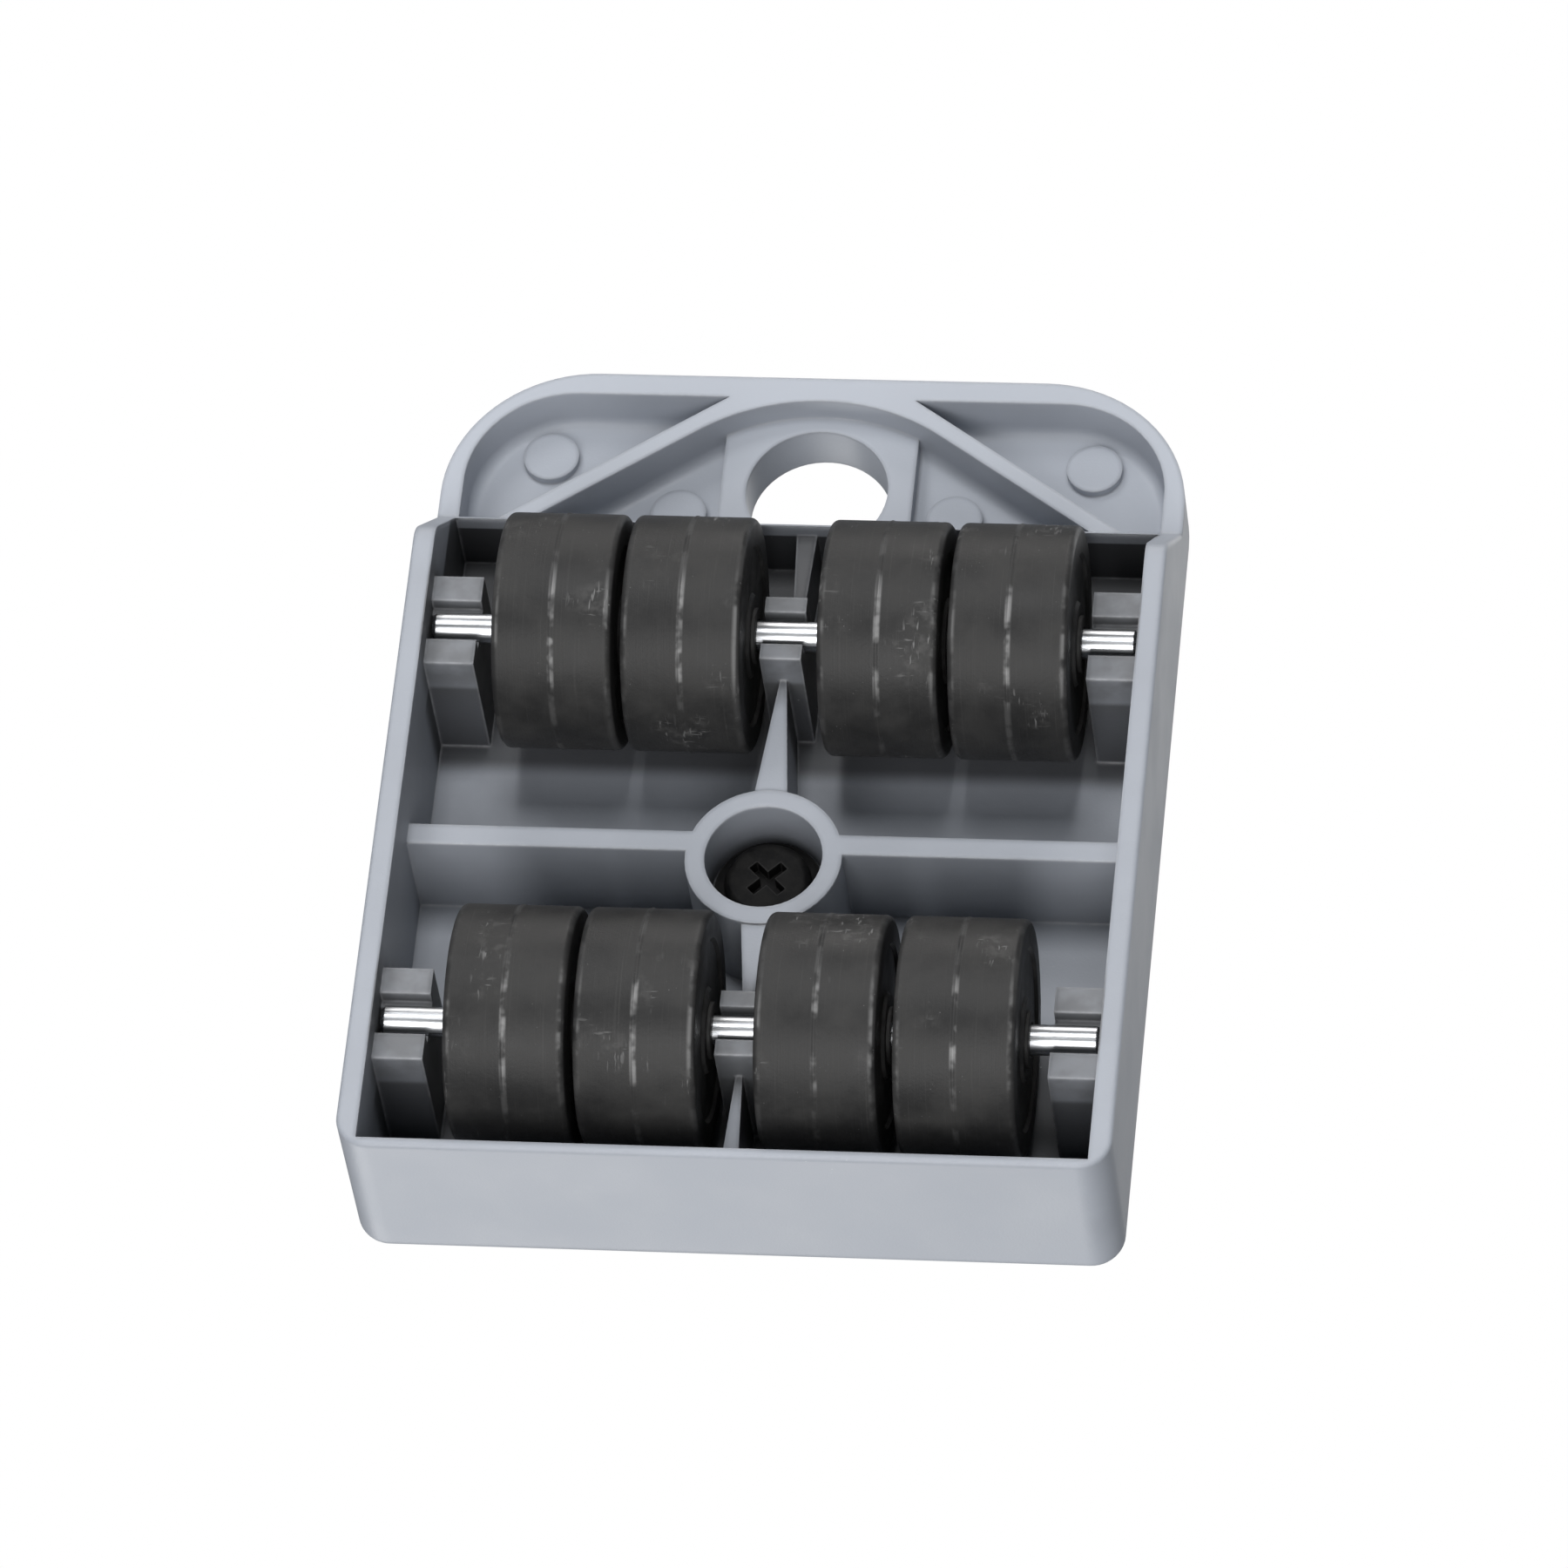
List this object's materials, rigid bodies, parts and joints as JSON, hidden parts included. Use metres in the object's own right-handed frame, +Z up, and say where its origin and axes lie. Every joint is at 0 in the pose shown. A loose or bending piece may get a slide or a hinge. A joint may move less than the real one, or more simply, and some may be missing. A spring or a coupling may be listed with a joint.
{
  "type": "furniture mover roller",
  "caption": "Low roller pad for moving furniture: shallow plastic tray with wheels on two axles below, swivelling gripping disc on top and a pull hole in the lip.",
  "frame": {"origin": "on the floor under the middle of the tray's outline", "axes": "+Z up from the floor, +Y from the plain front wall towards the lip with the pull hole, X along the axles"},
  "size_m": [0.08, 0.105, 0.0339],
  "materials": {
    "grey_plastic": "fine matte moulded surface",
    "dark_plastic": "matte, lightly scuffed",
    "zinc_steel": "bright drawn rod",
    "black_steel": "blackened",
    "grip_rubber": "matte"
  },
  "bodies": {
    "housing": {"base_housing": "grey_plastic", "front_axle": "zinc_steel", "rear_axle": "zinc_steel"},
    "front_wheel_1": {"front_wheel_1": "dark_plastic"},
    "front_wheel_2": {"front_wheel_2": "dark_plastic"},
    "front_wheel_3": {"front_wheel_3": "dark_plastic"},
    "front_wheel_4": {"front_wheel_4": "dark_plastic"},
    "rear_wheel_1": {"rear_wheel_1": "dark_plastic"},
    "rear_wheel_2": {"rear_wheel_2": "dark_plastic"},
    "rear_wheel_3": {"rear_wheel_3": "dark_plastic"},
    "rear_wheel_4": {"rear_wheel_4": "dark_plastic"},
    "swivel": {"turntable": "grey_plastic", "anti_slip_pad": "grip_rubber", "pivot_screw": "black_steel", "pivot_washer": "black_steel"}
  },
  "joints": [
    {"name": "front_wheel_1_spin", "type": "hinge", "parent": "housing", "child": "front_wheel_1", "pos_m": [-0.0235, -0.03465, 0.0125], "axis": [1, 0, 0], "continuous": true},
    {"name": "front_wheel_2_spin", "type": "hinge", "parent": "housing", "child": "front_wheel_2", "pos_m": [-0.0092, -0.03465, 0.0125], "axis": [1, 0, 0], "continuous": true},
    {"name": "front_wheel_3_spin", "type": "hinge", "parent": "housing", "child": "front_wheel_3", "pos_m": [0.0094, -0.03465, 0.0125], "axis": [1, 0, 0], "continuous": true},
    {"name": "front_wheel_4_spin", "type": "hinge", "parent": "housing", "child": "front_wheel_4", "pos_m": [0.0229, -0.03465, 0.0125], "axis": [1, 0, 0], "continuous": true},
    {"name": "rear_wheel_1_spin", "type": "hinge", "parent": "housing", "child": "rear_wheel_1", "pos_m": [-0.0249, 0.01425, 0.0125], "axis": [1, 0, 0], "continuous": true},
    {"name": "rear_wheel_2_spin", "type": "hinge", "parent": "housing", "child": "rear_wheel_2", "pos_m": [-0.0112, 0.01425, 0.0125], "axis": [1, 0, 0], "continuous": true},
    {"name": "rear_wheel_3_spin", "type": "hinge", "parent": "housing", "child": "rear_wheel_3", "pos_m": [0.0095, 0.01425, 0.0125], "axis": [1, 0, 0], "continuous": true},
    {"name": "rear_wheel_4_spin", "type": "hinge", "parent": "housing", "child": "rear_wheel_4", "pos_m": [0.0231, 0.01425, 0.0125], "axis": [1, 0, 0], "continuous": true},
    {"name": "turntable_swivel", "type": "hinge", "parent": "housing", "child": "swivel", "pos_m": [0, -0.0119, 0.0291], "axis": [0, 0, 1], "continuous": true}
  ]
}
